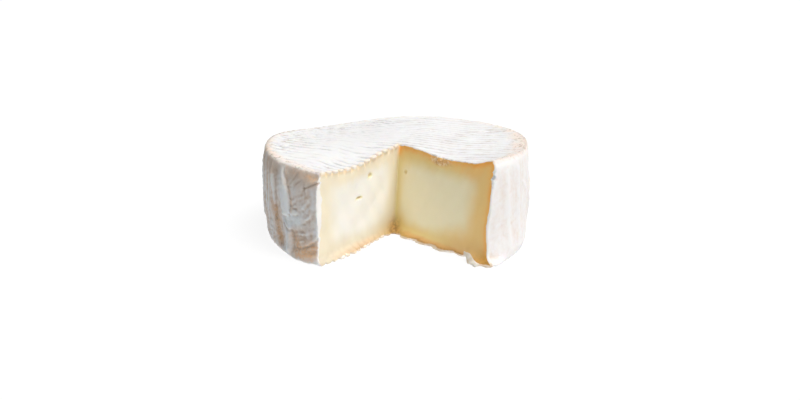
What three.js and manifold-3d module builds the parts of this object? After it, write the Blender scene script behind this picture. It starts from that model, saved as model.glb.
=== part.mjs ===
// A small soft-ripened cheese wheel with one wedge cut out of it, lying flat.
// It is a single piece: a bloomy rind with pleats down its side, the ridges of a
// draining mat across its top and base, and two cut faces that meet near the centre.
//
// Everything is in millimetres, +Z up. The formulas use the wheel's round centre on
// its base, and a bearing: the angle round that centre from the front, which is -Y
// and the middle of the notch, positive towards +X. The finished mesh is then set
// so that the origin is the middle of its box, on the surface that it lies on.

import * as THREE from "three";
import { mergeVertices } from "three/addons/utils/BufferGeometryUtils.js";
import Module from "manifold-3d";

const wasm = await Module();
wasm.setup();

const { degToRad, smoothstep, lerp, clamp } = THREE.MathUtils;

// The wheel.
const WHEEL_RADIUS = 68.2;
const WHEEL_HEIGHT = 46.9;
const RIM_WAVES = [ // slow waves round the rim, by how many go round, and where each is highest
  { count: 1, rise: 1.87, bearing: degToRad(51) },
  { count: 2, rise: 0.87, bearing: degToRad(-85) },
  { count: 3, rise: 0.72, bearing: degToRad(32) },
  { count: 4, rise: 0.58, bearing: degToRad(-11) },
  { count: 5, rise: 0.24, bearing: degToRad(-33) },
];
const DISH_DEPTH = 1.0; // the top sinks in a ring between its centre and its rim
const OUT_OF_ROUND = 0.2; // the left side reaches further than the right

// The side's upright profile.
const BELLY = 0.8;
const FOOT_ROUND = { height: 4, inset: 1.3 };
const SHOULDER_ROUND = { height: 2.8, inset: 1.7 };
const SLUMPED_SHOULDER = { bearing: degToRad(-38), width: degToRad(26), inset: 4.4, height: 16 };
const CORNER_BULGE = { bearing: degToRad(43), width: degToRad(20), reach: 3.1 };
const RIM_CURL = { bearing: degToRad(39), width: degToRad(15), rise: 1.5 };
const FOOT_FLARES = [
  { bearing: degToRad(-42), width: degToRad(13), reach: 3.3, height: 4.5 },
  { bearing: degToRad(46), width: degToRad(24), reach: 2.8, height: 12 },
  { bearing: degToRad(35), width: degToRad(7), reach: 4.3, height: 3 },
];

// The notch that the wedge left.
const NOTCH_HALF_ANGLE = degToRad(39.15);
const TIP_TOP = [1.5, -3.8];
const TIP_BASE = [-1.8, -9.3];
const TIP_WIDTH = 0.5; // the knife leaves the tip a little blunt
const CUT_BULGE = 0.7; // the paste swells out between its rinds
const CUT_LIP = { tip: 3.0, height: 2.5 }; // the base rind stands out under the paste
const LIP_REACH = { // how far, by the distance along each cut
  left: [[0, -0.8], [8, -1.3], [24, 1.0], [38, 2.2], [45, 2.2], [58, 0.8]],
  right: [[0, 1.2], [8, 1.7], [20, 1.4], [33, 0.5], [45, -2.0], [66, -1.7]],
};
const CUT_SAG = {
  left: { depth: 2.7, deepest: 40, width: 20 },
  right: { depth: 1.0, deepest: 38, width: 17 },
  reach: 15, // how far behind each cut the top still sinks
};
const TOE = { reach: 5.2, from: 50, full: 57, fall: 60, to: 68, height: 4.2 };

// The ridges that a draining mat left in the top and another in the base: how far apart,
// how deep the grooves between them, and how far the pattern is moved across its run.
const RIDGE_BEARING = degToRad(63.4); // the way the ridges run
const TOP_RIDGES = { pitch: 4.6, depth: 0.8, aside: 1.0 };
const BASE_RIDGES = { pitch: 4.2, depth: 0.7, aside: -1.55 };
const RIDGE_WANDER = [
  { reach: 0.9, length: 41, phase: 0.4, drift: 0.003 },
  { reach: 0.5, length: 26, phase: 2.1, drift: 0.006 },
];

// The pleats in the side, by their bearings in degrees at the top and the base, and
// the heights between which they stand. Those near the cuts are set out one by one.
const PLEATS = [
  { top: -64, base: -68, half: 2.6, rise: 1.2, low: 18, high: 46 },
  { top: -56.5, base: -50, half: 3.4, rise: 1.3, low: 22, high: 43 },
  { top: -51, base: -51, half: 3.2, rise: 1.6, low: 1, high: 16 },
  { top: -61, base: -57, half: 2.4, rise: -1.2, low: 4, high: 26 },
  { top: 45, base: 47, half: 2.2, rise: 0.6, low: 4, high: 44 },
  { top: 54, base: 56, half: 2.6, rise: 0.7, low: 0, high: 45 },
];
const PLEAT_FADE = 4;
const PLEAT_BACK = { from: 66, to: 284, count: 17, half: [2.2, 4.2], rise: [0.4, 1.5] };
const CRINKLE = { bearing: degToRad(-41), width: degToRad(8), rise: 0.5, spacing: 7.5 };

// The openings in the paste, by the distance along a cut from the tip.
const EYES = [
  { cut: "left", along: 24.0, up: 35.3, size: [1.6, 1.5, 1.05] },
  { cut: "left", along: 32.2, up: 26.0, size: [2.3, 1.2, 0.6] },
  { cut: "right", along: 5.8, up: 33.1, size: [1.1, 1.2, 1.1] },
];

// How finely each surface is divided.
const WALL_PANELS = [
  { to: 35, columns: 6 },
  { to: 80, columns: 22 },
  { to: 282, columns: 72 },
  { to: 325, columns: 26 },
  { to: 360, columns: 6 },
];
const WALL_ROWS = 13;
const WALL_OVERRUN = 8;
const ROWS_PER_RIDGE = 3;
const SLAB_SPAN = 152;
const SLAB_COLUMNS = 19;
const NOTCH_REACH = 92;
const NOTCH_STEPS = { along: 27, up: 16 };
const NOTCH_HEIGHTS = [-6, 58];
const RIND_MATERIAL = { color: 0xeee6dc, roughness: 0.92, metalness: 0 };

const hump = (offset, width) => Math.exp(-((offset / width) ** 2));

// A repeatable draw from 0 to 1 for each whole number.
function draw(n) {
  const wide = Math.sin(n * 12.9898) * 43758.5453;
  return wide - Math.floor(wide);
}

// An angle brought to within half a turn of zero.
function nearZero(angle) {
  return Math.atan2(Math.sin(angle), Math.cos(angle));
}

const bearingOf = (x, y) => Math.atan2(x, -y);
const headingOf = (bearing) => [Math.sin(bearing), -Math.cos(bearing)];

function rimHeight(bearing) {
  return RIM_WAVES.reduce((height, wave) => {
    return height + wave.rise * Math.cos(wave.count * (bearing - wave.bearing));
  }, WHEEL_HEIGHT);
}

// Each cut: the way it runs from the tip, and the way its face looks.
const CUTS = {
  left: { heading: headingOf(-NOTCH_HALF_ANGLE), facing: headingOf(Math.PI / 2 - NOTCH_HALF_ANGLE) },
  right: { heading: headingOf(NOTCH_HALF_ANGLE), facing: headingOf(NOTCH_HALF_ANGLE - Math.PI / 2) },
};

function tipAt(z) {
  const share = z / WHEEL_HEIGHT;
  const lip = CUT_LIP.tip * hump(Math.max(z, 0), CUT_LIP.height);
  return [lerp(TIP_BASE[0], TIP_TOP[0], share), lerp(TIP_BASE[1], TIP_TOP[1], share) - lip];
}

// How far a point lies behind a cut's face, inside the cheese.
function behindCut(cut, x, y, z) {
  const tip = tipAt(z);
  return -((x - tip[0]) * cut.facing[0] + (y - tip[1]) * cut.facing[1]);
}

// How much the top sinks beside one of the cuts.
function sagBeside(side, x, y) {
  const { depth, deepest, width } = CUT_SAG[side];
  const behind = behindCut(CUTS[side], x, y, WHEEL_HEIGHT);
  return depth * hump(behind, CUT_SAG.reach) * hump(Math.hypot(x, y) - deepest, width);
}

function cutSag(x, y) {
  return lerp(sagBeside("left", x, y), sagBeside("right", x, y), smoothstep(x, -12, 12));
}

// The height of the top, before its ridges.
function topHeight(x, y) {
  const across = Math.min(Math.hypot(x, y) / WHEEL_RADIUS, 1.08) ** 2;
  const bearing = bearingOf(x, y);
  const ring = Math.max(0, 4 * across * (1 - across));
  const curl = RIM_CURL.rise * hump(nearZero(bearing - RIM_CURL.bearing), RIM_CURL.width);
  return (
    lerp(WHEEL_HEIGHT, rimHeight(bearing), across) -
    DISH_DEPTH * ring -
    cutSag(x, y) +
    curl * smoothstep(across, 0.7, 1)
  );
}

// A rounded pleat, steeper on the side of the larger bearings.
function pleatRise(pleat, degrees, z) {
  const share = clamp(z / WHEEL_HEIGHT, 0, 1);
  const offset = nearZero(degToRad(degrees - lerp(pleat.base, pleat.top, share)));
  const half = degToRad(pleat.half);
  const across = hump(offset, offset > 0 ? half * 0.6 : half);
  const starts = smoothstep(z, pleat.low - PLEAT_FADE, pleat.low + PLEAT_FADE);
  const ends = 1 - smoothstep(z, pleat.high - PLEAT_FADE, pleat.high + PLEAT_FADE);
  return pleat.rise * across * starts * ends;
}

// The pleats round the rest of the side, at uneven places and of uneven depth.
function backPleats() {
  const gap = (PLEAT_BACK.to - PLEAT_BACK.from) / PLEAT_BACK.count;
  return Array.from({ length: PLEAT_BACK.count }, (_, n) => {
    const top = PLEAT_BACK.from + gap * (n + 0.2 + 0.6 * draw(n + 1));
    return {
      top,
      base: top + lerp(-5, 5, draw(n + 31)),
      half: lerp(...PLEAT_BACK.half, draw(n + 61)),
      rise: lerp(...PLEAT_BACK.rise, draw(n + 91)),
      low: lerp(-4, 14, draw(n + 121)),
      high: lerp(30, 48, draw(n + 151)),
    };
  });
}

const ALL_PLEATS = [...PLEATS, ...backPleats()];

// Short creases across the panel of rind beside the left cut.
function crinkleRise(bearing, z) {
  const across = hump(nearZero(bearing - CRINKLE.bearing), CRINKLE.width);
  const slope = 10 * nearZero(bearing - CRINKLE.bearing);
  return CRINKLE.rise * across * Math.cos((2 * Math.PI * (z - slope)) / CRINKLE.spacing);
}

function folds(bearing, z) {
  const degrees = THREE.MathUtils.radToDeg(bearing);
  const pleats = ALL_PLEATS.reduce((sum, pleat) => sum + pleatRise(pleat, degrees, z), 0);
  return pleats + crinkleRise(bearing, z);
}

// How far a quarter-round edge draws in, at a height above where it starts.
function roundedIn(edge, past) {
  const share = clamp(past / edge.height, 0, 1);
  return edge.inset * (1 - Math.sqrt(1 - share * share));
}

// How far the foot spreads at the two corners of the notch.
function footSpread(bearing, z) {
  return FOOT_FLARES.reduce((sum, flare) => {
    const offset = nearZero(bearing - flare.bearing);
    return sum + flare.reach * hump(offset, flare.width) * hump(Math.max(z, 0), flare.height);
  }, 0);
}

// The radius of the side at a bearing and a height.
function wallRadius(bearing, z) {
  const height = rimHeight(bearing);
  const slump = hump(nearZero(bearing - SLUMPED_SHOULDER.bearing), SLUMPED_SHOULDER.width);
  const past = clamp((z - height + SLUMPED_SHOULDER.height) / SLUMPED_SHOULDER.height, 0, 1);
  return (
    WHEEL_RADIUS -
    OUT_OF_ROUND * Math.sin(bearing) +
    CORNER_BULGE.reach * hump(nearZero(bearing - CORNER_BULGE.bearing), CORNER_BULGE.width) +
    BELLY * Math.sin((Math.PI * clamp(z, 0, height)) / height) -
    roundedIn(FOOT_ROUND, FOOT_ROUND.height - z) +
    footSpread(bearing, z) -
    roundedIn(SHOULDER_ROUND, z - height + SHOULDER_ROUND.height) -
    SLUMPED_SHOULDER.inset * slump * past * past +
    folds(bearing, z) * smoothstep(z, 0, 5) * (1 - smoothstep(z, height - 6, height))
  );
}

// A value read off a list of places and levels, with smooth turns between them.
function levelAt(list, place) {
  return list.slice(1).reduce((level, [at, next], i) => {
    return level + (next - list[i][1]) * smoothstep(place, list[i][0], at);
  }, list[0][1]);
}

// A geometry whose every vertex is moved by a function, as a solid for joining and cutting.
function solidFrom(geometry, move) {
  const bare = new THREE.BufferGeometry();
  bare.setAttribute("position", geometry.getAttribute("position").clone());
  bare.setIndex(geometry.getIndex());
  const merged = mergeVertices(bare, 1e-5);
  const position = merged.getAttribute("position");
  const point = new THREE.Vector3();
  for (let i = 0; i < position.count; i++) {
    move(point.fromBufferAttribute(position, i));
    position.setXYZ(i, point.x, point.y, point.z);
  }
  const mesh = new wasm.Mesh({
    numProp: 3,
    vertProperties: new Float32Array(position.array),
    triVerts: new Uint32Array(merged.getIndex().array),
  });
  return new wasm.Manifold(mesh);
}

// The bearings of the wall's columns, closer together where its folds are sharper.
function wallBearings() {
  const bearings = [0];
  for (const panel of WALL_PANELS) {
    const from = bearings[bearings.length - 1];
    for (let column = 1; column <= panel.columns; column++) {
      bearings.push(lerp(from, degToRad(panel.to), column / panel.columns));
    }
  }
  return bearings;
}

// The side, as a turned drum that runs past the top and the base.
function makeWall() {
  const outline = [new THREE.Vector2(0, -WALL_OVERRUN), new THREE.Vector2(1, -WALL_OVERRUN)];
  for (let row = 0; row <= WALL_ROWS; row++) {
    outline.push(new THREE.Vector2(1, row / WALL_ROWS));
  }
  outline.push(new THREE.Vector2(1, 1 + WALL_OVERRUN), new THREE.Vector2(0, 1 + WALL_OVERRUN));
  const bearings = wallBearings();
  const columns = bearings.length - 1;
  const drum = new THREE.LatheGeometry(outline, columns);
  drum.rotateX(Math.PI / 2);
  return solidFrom(drum, (p) => {
    const turn = bearingOf(p.x, p.y) / (2 * Math.PI);
    const bearing = bearings[Math.round((turn - Math.floor(turn)) * columns) % columns];
    const height = rimHeight(bearing);
    const share = (1 - Math.cos(Math.PI * clamp(p.z, 0, 1))) / 2;
    const beyond = p.z - clamp(p.z, 0, 1);
    const radius = Math.hypot(p.x, p.y) * wallRadius(bearing, share * height);
    const [right, back] = headingOf(bearing);
    p.set(right * radius, back * radius, share * height + beyond);
  });
}

// The sideways wander of the ridges, along their run and from one ridge to the next.
function ridgeWander(run, level) {
  return RIDGE_WANDER.reduce((sum, wave) => {
    const turns = run / wave.length + wave.drift * level;
    return sum + wave.reach * Math.sin(2 * Math.PI * turns + wave.phase);
  }, 0);
}

// The slice between the ridged top and the ridged base, laid out along the ridges.
function makeSlab() {
  const rows = 2 * Math.round((SLAB_SPAN * ROWS_PER_RIDGE) / BASE_RIDGES.pitch / 2);
  const box = new THREE.BoxGeometry(1, 1, 1, SLAB_COLUMNS, rows, 1);
  const along = headingOf(RIDGE_BEARING);
  const aside = headingOf(RIDGE_BEARING + Math.PI / 2);
  return solidFrom(box, (p) => {
    const run = p.x * SLAB_SPAN;
    const ridges = p.z > 0 ? TOP_RIDGES : BASE_RIDGES;
    const level = (Math.round(p.y * rows) * ridges.pitch) / ROWS_PER_RIDGE;
    const across = level + ridges.aside + ridgeWander(run, level);
    const x = run * along[0] + across * aside[0];
    const y = run * along[1] + across * aside[1];
    const groove = ridges.depth * Math.max(0, Math.cos((2 * Math.PI * level) / ridges.pitch));
    const worn = 1 - 0.5 * smoothstep(Math.hypot(x, y), 0.85 * WHEEL_RADIUS, WHEEL_RADIUS);
    p.set(x, y, p.z > 0 ? topHeight(x, y) - groove * worn : groove);
  });
}

// How far the paste of a cut stands out of the cut's plane.
function cutRelief(side, along, z) {
  const clearOfTip = smoothstep(along, 2, 14);
  const swell = CUT_BULGE * Math.sin(Math.PI * clamp(z / WHEEL_HEIGHT, 0, 1));
  const uneven = 0.2 * Math.sin(0.23 * along + 0.31 * z) + 0.12 * Math.sin(0.61 * along - 0.4 * z);
  const toe =
    side === "right"
      ? TOE.reach * smoothstep(along, TOE.from, TOE.full) * (1 - smoothstep(along, TOE.fall, TOE.to))
      : 0;
  const low = Math.max(z, 0);
  const lip = smoothstep(along, 1, 7) * levelAt(LIP_REACH[side], along) * hump(low, CUT_LIP.height);
  return clearOfTip * (swell + uneven) + lip + toe * hump(low, TOE.height);
}

// The wedge of cheese that was taken out.
function makeNotch() {
  const box = new THREE.BoxGeometry(1, 1, 1, NOTCH_STEPS.along, 1, NOTCH_STEPS.up);
  return solidFrom(box, (p) => {
    const side = p.y > 0 ? "right" : "left";
    const cut = CUTS[side];
    const along = (p.x + 0.5) * NOTCH_REACH;
    const z = lerp(...NOTCH_HEIGHTS, (p.z + 0.5) ** 1.4);
    const tip = tipAt(z);
    const blunt = (side === "right" ? 0.5 : -0.5) * TIP_WIDTH;
    const proud = cutRelief(side, along, z);
    p.set(
      tip[0] + blunt + cut.heading[0] * along + cut.facing[0] * proud,
      tip[1] + cut.heading[1] * along + cut.facing[1] * proud,
      z,
    );
  });
}

// One opening in the paste, sunk into the face of its cut.
function makeEye(eye) {
  const cut = CUTS[eye.cut];
  const tip = tipAt(eye.up);
  const proud = cutRelief(eye.cut, eye.along, eye.up);
  const [long, deep, high] = eye.size;
  const hand = eye.cut === "left" ? 1 : -1; // the cuts mirror each other, and the shell faces out
  return solidFrom(new THREE.IcosahedronGeometry(1, 1), (p) => {
    const along = eye.along + hand * p.x * long;
    const out = proud + p.y * deep;
    p.set(
      tip[0] + cut.heading[0] * along + cut.facing[0] * out,
      tip[1] + cut.heading[1] * along + cut.facing[1] * out,
      eye.up + p.z * high,
    );
  });
}

function makeWheel() {
  const whole = makeWall().intersect(makeSlab());
  const cut = whole.subtract(makeNotch());
  return EYES.reduce((cheese, eye) => cheese.subtract(makeEye(eye)), cut);
}

// A solid as a mesh whose origin is the middle of its box, on its base.
function meshOf(solid, name, look) {
  const { vertProperties, triVerts } = solid.getMesh();
  const geometry = new THREE.BufferGeometry();
  geometry.setAttribute("position", new THREE.BufferAttribute(vertProperties, 3));
  geometry.setIndex(new THREE.BufferAttribute(triVerts, 1));
  geometry.computeVertexNormals();
  geometry.computeBoundingBox();
  const { min, max } = geometry.boundingBox;
  const mesh = new THREE.Mesh(geometry, new THREE.MeshStandardMaterial(look));
  mesh.name = name;
  mesh.position.set(-(min.x + max.x) / 2, -(min.y + max.y) / 2, -min.z);
  return mesh;
}

const cheese = new THREE.Group();
cheese.add(meshOf(makeWheel(), "cheese_wheel", RIND_MATERIAL));

export default cheese;
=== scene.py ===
import math

import bmesh
import bpy
import numpy as np
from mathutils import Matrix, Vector, noise


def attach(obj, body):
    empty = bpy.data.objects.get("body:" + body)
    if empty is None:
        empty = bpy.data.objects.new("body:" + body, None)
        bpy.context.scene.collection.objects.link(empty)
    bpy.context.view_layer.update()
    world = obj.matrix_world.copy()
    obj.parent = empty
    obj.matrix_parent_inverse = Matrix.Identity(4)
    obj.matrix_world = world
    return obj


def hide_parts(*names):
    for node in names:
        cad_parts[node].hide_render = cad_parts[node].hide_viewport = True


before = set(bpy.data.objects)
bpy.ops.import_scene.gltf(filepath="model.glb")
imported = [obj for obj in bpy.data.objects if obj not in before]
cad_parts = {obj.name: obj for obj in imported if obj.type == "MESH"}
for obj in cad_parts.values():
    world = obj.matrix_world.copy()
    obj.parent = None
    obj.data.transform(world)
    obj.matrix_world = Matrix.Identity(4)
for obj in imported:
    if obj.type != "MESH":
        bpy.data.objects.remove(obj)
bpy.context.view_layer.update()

# A small soft-ripened cheese wheel with a wedge cut out. The shape's formulas are in
# millimetres round the wheel's own centre; a bearing is the angle round that centre
# from the front (-Y), positive towards +X. Bearings and widths round the side are written
# in degrees. The mesh ends up in metres in the frame.
WHEEL_CENTRE = np.array([0.271, -3.234, 0.0])

WHEEL_RADIUS = 68.2
WHEEL_HEIGHT = 46.9
RIM_WAVES = [  # how many go round, the rise, and the bearing where it is highest
    (1, 1.87, 51),
    (2, 0.87, -85),
    (3, 0.72, 32),
    (4, 0.58, -11),
    (5, 0.24, -33),
]
DISH_DEPTH = 1.0
OUT_OF_ROUND = 0.2

BELLY = 0.8
FOOT_HEIGHT, FOOT_INSET = 4, 1.3
SHOULDER_HEIGHT, SHOULDER_INSET = 2.8, 1.7
SLUMP_BEARING, SLUMP_WIDTH, SLUMP_INSET, SLUMP_HEIGHT = -38, 26, 4.4, 16
BULGE_BEARING, BULGE_WIDTH, BULGE_REACH = 43, 20, 3.1
CURL_BEARING, CURL_WIDTH, CURL_RISE = 39, 15, 1.5
FOOT_FLARES = [  # bearing, width, reach, height
    (-42, 13, 3.3, 4.5),
    (46, 24, 2.8, 12),
    (35, 7, 4.3, 3),
]

NOTCH_HALF_ANGLE = math.radians(39.15)
TIP_TOP = np.array([1.5, -3.8])
TIP_BASE = np.array([-1.8, -9.3])
TIP_WIDTH = 0.5
CUT_BULGE = 0.7
TIP_LIP, LIP_HEIGHT = 3.0, 2.5
LIP_REACH = {  # how far the base stands out under the paste, by the distance along each cut
    "left": [(0, -0.8), (8, -1.3), (24, 1.0), (38, 2.2), (45, 2.2), (58, 0.8)],
    "right": [(0, 1.2), (8, 1.7), (20, 1.4), (33, 0.5), (45, -2.0), (66, -1.7)],
}
SAG = {"left": (2.7, 40, 20), "right": (1.0, 38, 17)}  # depth, where deepest, width
SAG_REACH = 15
TOE_REACH, TOE_SPAN, TOE_HEIGHT = 5.2, (50, 57, 60, 68), 4.2

RIDGE_BEARING = math.radians(63.4)
TOP_PITCH, TOP_ASIDE, TOP_GROOVE = 4.6, 1.0, 0.8
BASE_PITCH, BASE_ASIDE, BASE_GROOVE = 4.2, -1.55, 0.7
RIDGE_WANDER = [(0.9, 41, 0.4, 0.003), (0.5, 26, 2.1, 0.006)]  # reach, length, phase, drift

PLEATS = [  # bearing at the top and at the base, half width, rise, low end, high end
    (-64, -68, 2.6, 1.2, 18, 46),
    (-56.5, -50, 3.4, 1.3, 22, 43),
    (-51, -51, 3.2, 1.6, 1, 16),
    (-61, -57, 2.4, -1.2, 4, 26),
    (45, 47, 2.2, 0.6, 4, 44),
    (54, 56, 2.6, 0.7, 0, 45),
]
PLEAT_FADE = 4
BACK_PLEATS_FROM, BACK_PLEATS_TO, BACK_PLEAT_COUNT = 66, 284, 17

# Fine folds in the side's rind, each corner of a path a bearing and a height. Then: rise,
# spread before the path, spread past it, and the depth of the crease that lies past it.
# Past is the right of a path that runs down, and below one that runs to the left.
FOLDS = [
    ([(-57.5, 43), (-56.9, 41.4), (-54.3, 38.2), (-52.5, 33.7), (-51.4, 29), (-51.2, 23.1)],
     0.6, 3.4, 0.5, 0.9),
    ([(-62.2, 40), (-61.8, 35), (-61, 28.7), (-59.7, 23.8), (-55.8, 21.6)], -0.4, 0.8, 1, 0),
    ([(-46.8, 23.5), (-51, 22.3), (-55.6, 20.9)], 0.6, 1.6, 0.6, 0.4),
    ([(-50.2, 15), (-52.5, 15.7), (-55, 17.4)], 0.6, 1.2, 0.5, 0.9),
    ([(-49.4, 12.8), (-49.1, 4.5)], 0.8, 2.2, 0.5, 0.9),
    ([(-54.7, 10), (-55.1, 3)], -0.7, 0.8, 1, 0),
    ([(-66, 43), (-64.2, 38), (-63.4, 33), (-62.8, 26), (-62.9, 21)], 0.7, 1.3, 0.6, 0.5),
    ([(-68.2, 44.5), (-65.6, 36)], -0.6, 0.7, 0.8, 0),
    ([(-62.6, 22), (-61.8, 14), (-59.6, 5)], -0.5, 1.4, 1.4, 0),
    ([(-48.9, 42.6), (-51, 38.4)], 0.5, 0.9, 0.5, 0.8),
    ([(-47.2, 39.2), (-50.2, 36.7)], 0.5, 0.9, 0.6, 0.4),
    ([(-35.9, 41.2), (-39.5, 39.4), (-42.6, 37.7)], 0.6, 1, 0.5, 1),
    ([(-43.3, 38.7), (-42.1, 35.3)], -0.45, 0.5, 0.6, 0),
    ([(-41.8, 36.4), (-40.6, 34.8)], 0.4, 0.7, 0.7, 0),
    ([(-49.8, 29.9), (-48.3, 30.3)], -0.6, 0.5, 0.6, 0),
    ([(-50.1, 26.3), (-47.3, 28.1)], -0.7, 0.5, 0.7, 0),
    ([(-48.6, 25.2), (-46.6, 25.7)], -0.6, 0.5, 0.6, 0),
    ([(-49.7, 13.6), (-42.6, 15.2)], -0.4, 0.6, 0.9, 0),
    ([(-36.5, 16.4), (-41.8, 14)], 0.3, 1, 0.5, 0.3),
    ([(-36.1, 13.2), (-38.4, 10.8), (-41.6, 8.7), (-45.2, 6.7)], 0.5, 1.2, 0.5, 0.8),
    ([(-49, 11.4), (-44.5, 12.6), (-41, 11.9)], -0.45, 0.4, 0.5, 0),
    ([(-48.6, 8.8), (-45.4, 9.8), (-43, 10.4)], 0.4, 0.7, 0.4, 0.4),
    ([(-47.8, 6), (-45.6, 6.4)], -0.4, 0.4, 0.5, 0),
    ([(-40.5, 7.2), (-36.5, 8.6)], 0.35, 0.7, 0.4, 0.4),
    ([(-42.5, 3.6), (-37.3, 5.6)], -0.5, 0.7, 1, 0),
    ([(-39.5, 31), (-42.5, 27)], 0.4, 1.2, 0.6, 0.4),
    ([(-38.3, 24), (-42, 20.5)], 0.4, 1.2, 0.6, 0.4),
    ([(35.5, 45), (38.4, 44.9)], -0.9, 0.5, 0.6, 0),
    ([(35.5, 41.6), (38.6, 41.4)], -0.8, 0.4, 0.5, 0),
]
LOOSE_FOLDS_FROM, LOOSE_FOLDS_TO, LOOSE_FOLD_COUNT = 62, 266, 41

EYES = [  # cut, distance along it, height, half sizes along, into and up
    ("left", 24.0, 35.3, (1.7, 1.7, 1.15)),
    ("left", 32.2, 26.0, (2.5, 1.5, 0.65)),
    ("right", 5.8, 33.1, (1.1, 1.6, 1.1)),
]
CRUMBLED = (30.5, 7.0, 43.6, 2.6)  # on the right cut: distance along it, reach, height, reach
LEFT_RIND = [(2, 0.9), (13, 1.7), (24, 3.9), (33, 3.3), (44, 1.0)]  # height, depth on the left cut

# Parts of the side and the rim with a finish of their own, each a bearing and a width.
LEFT_FRONT, BACK_LEFT, RIGHT_RIM = (-66, 42), (-118, 34), (78, 36)
CUT_CORNER, WIDE_RIM, WARM_RIM = (-39, 9), (-58, 22), (-84, 12)
# the bearing where the side is darkest with painted shade, and where its creases are shallowest
SHADED_SIDE_BEARING, CALM_BEARING = -75, 60
RIGHT_HALF = (-8, 22)  # where the top's right half starts and where it is full, along X

# Places on the side, each a path, a half width and a strength: where the mould has worn off and the brown
# rind shows, with painted shade in the crease right of the big flap, and where the mould lies smooth,
# thick and bluish.
WORN_PLACES_AND_CREASE_SHADE = [
    ([(-63, 22), (-62, 14.5), (-60, 6)], 2.9, 1.15),
    # brown with painted shade in the crease right of the big flap
    ([(-55.3, 44), (-53.2, 38.5), (-51.2, 33.7), (-50, 29), (-49.8, 24)], 1, 0.7),
    ([(-48, 12), (-46, 7.5)], 2.3, 0.8),
    ([(-45, 4.5), (-41, 5.5), (-37.5, 8)], 3.8, 1),
    ([(-42.3, 5.3), (-38, 3.5)], 2, 0.6),
    ([(-52, 43.5), (-45, 43), (-38, 42)], 2, 0.4),
    ([(-40.5, 42), (-36.5, 40.8)], 2.6, 0.35),
    ([(-68, 44), (-66.1, 29.8), (-65.5, 24)], 0.9, 0.45),
    ([(-64.8, 33), (-64.2, 24)], 1, 0.35),
    ([(-72.5, 44), (-74, 22)], 1.2, 0.55),
    ([(-70, 40), (-70.5, 10)], 0.9, 0.25),
    ([(-87, 44), (-86, 18)], 1.6, 0.3),
]
SMOOTH_PLACES = [
    ([(-57.3, 41), (-54.9, 34), (-53.4, 27.5), (-52.6, 23.4)], 4.9, 1.15),
    ([(-53.5, 19), (-50, 18.6), (-45.5, 19.8)], 3, 1),
    ([(-52.4, 12), (-52.3, 3.5)], 1.9, 1),
    ([(-83, 42), (-82, 26)], 1.8, 0.9),
    ([(-77, 44), (-76, 18)], 1.3, 0.9),
    ([(-95, 42), (-93, 6)], 2.8, 0.8),
    ([(-67, 43), (-66.9, 31)], 1.1, 0.7),
    ([(-71.7, 42), (-71.7, 20)], 1.2, 0.8),
    ([(-89, 40), (-88, 12)], 1.8, 0.7),
    ([(-73, 21), (-70, 4)], 1.6, 0.7),
    ([(-68, 30), (-67, 8)], 1.1, 0.6),
    ([(-64, 38), (-62.9, 24)], 0.8, 0.8),
    ([(-43.5, 28), (-43, 22)], 2.2, 0.5),
    ([(-37.5, 36), (-37.3, 28)], 1.6, 0.6),
]

SKIN_VOXEL, QUICK_VOXEL = 0.52, 1.6
MOST_TRIANGLES = 196000
KEPT_FOLDS_FROM, KEPT_FOLDS_TO, KEPT_RADIUS = -88, -34, 58  # the fine folds here lose no faces

SUNS = [  # name, bearing, elevation, softness, strength
    ("key", 62, 65.5, 40, 3.1),
    ("fill", -45, 40, 60, 0.13),
]
SKY_BRIGHTNESS = 0.125
FLOOR_REACH, FLOOR_GLOW = 6, 0.87  # metres each way from the middle, and the light it gives off
CAMERA_LENS = 42.26
CAMERA_PLACE = (-0.02001, -0.48024, 0.16335)
CAMERA_HEADING = (0.04415, 0.95384, -0.29704)


def draw(n):
    """A repeatable number from 0 to 1 for each whole number."""
    wide = math.sin(n * 12.9898) * 43758.5453
    return wide - math.floor(wide)


def mix(a, b, share):
    return a + (b - a) * share


def hump(offset, width):
    return np.exp(-((offset / width) ** 2))


def step(x, low, high):
    share = np.clip((x - low) / (high - low), 0, 1)
    return share * share * (3 - 2 * share)


def below(z, level, reach):
    """1 up to a level, falling away over a reach above it."""
    return hump(np.maximum(z - level, 0), reach)


def near_zero(angle):
    return np.arctan2(np.sin(angle), np.cos(angle))


def near_bearing(bearing, middle, width):
    """1 at one bearing, falling away to both sides over a width in degrees."""
    return hump(near_zero(bearing - math.radians(middle)), math.radians(width))


def heading(bearing):
    return np.array([math.sin(bearing), -math.cos(bearing)])


def noise_at(points, size):
    """Smooth noise, about -0.7 to 0.7, with features of the given size."""
    return np.array([noise.noise(place) for place in (np.asarray(points) / size).tolist()])


def fine_lines(place, sharp):
    """Wandering lines: 1 where smooth noise is 0, and 0 a little way from there."""
    return np.clip(1 - sharp * np.abs(noise_at(place, 1)), 0, 1) ** 2


CUT_HEADING = {"left": heading(-NOTCH_HALF_ANGLE), "right": heading(NOTCH_HALF_ANGLE)}
CUT_FACING = {
    "left": heading(math.pi / 2 - NOTCH_HALF_ANGLE),
    "right": heading(NOTCH_HALF_ANGLE - math.pi / 2),
}


# ---- the wheel's form ----


def rim_height(bearing):
    height = WHEEL_HEIGHT
    for count, rise, highest in RIM_WAVES:
        height = height + rise * np.cos(count * (bearing - math.radians(highest)))
    return height


def tip_at(z):
    z = np.asarray(z, float)
    lip = TIP_LIP * below(z, 0, LIP_HEIGHT)
    share = z[..., None] / WHEEL_HEIGHT
    return TIP_BASE + (TIP_TOP - TIP_BASE) * share - lip[..., None] * np.array([0, 1])


def level_at(levels, place):
    """A value read off a list of places and levels, with smooth turns between them."""
    value = levels[0][1]
    for (start, level), (end, next_level) in zip(levels, levels[1:]):
        value = value + (next_level - level) * step(place, start, end)
    return value


def past_tip(direction, x, y, z):
    """How far a point lies past the tip in one flat direction."""
    tip = tip_at(z)
    return (x - tip[..., 0]) * direction[0] + (y - tip[..., 1]) * direction[1]


def along_cut(side, x, y, z):
    return past_tip(CUT_HEADING[side], x, y, z)


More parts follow.
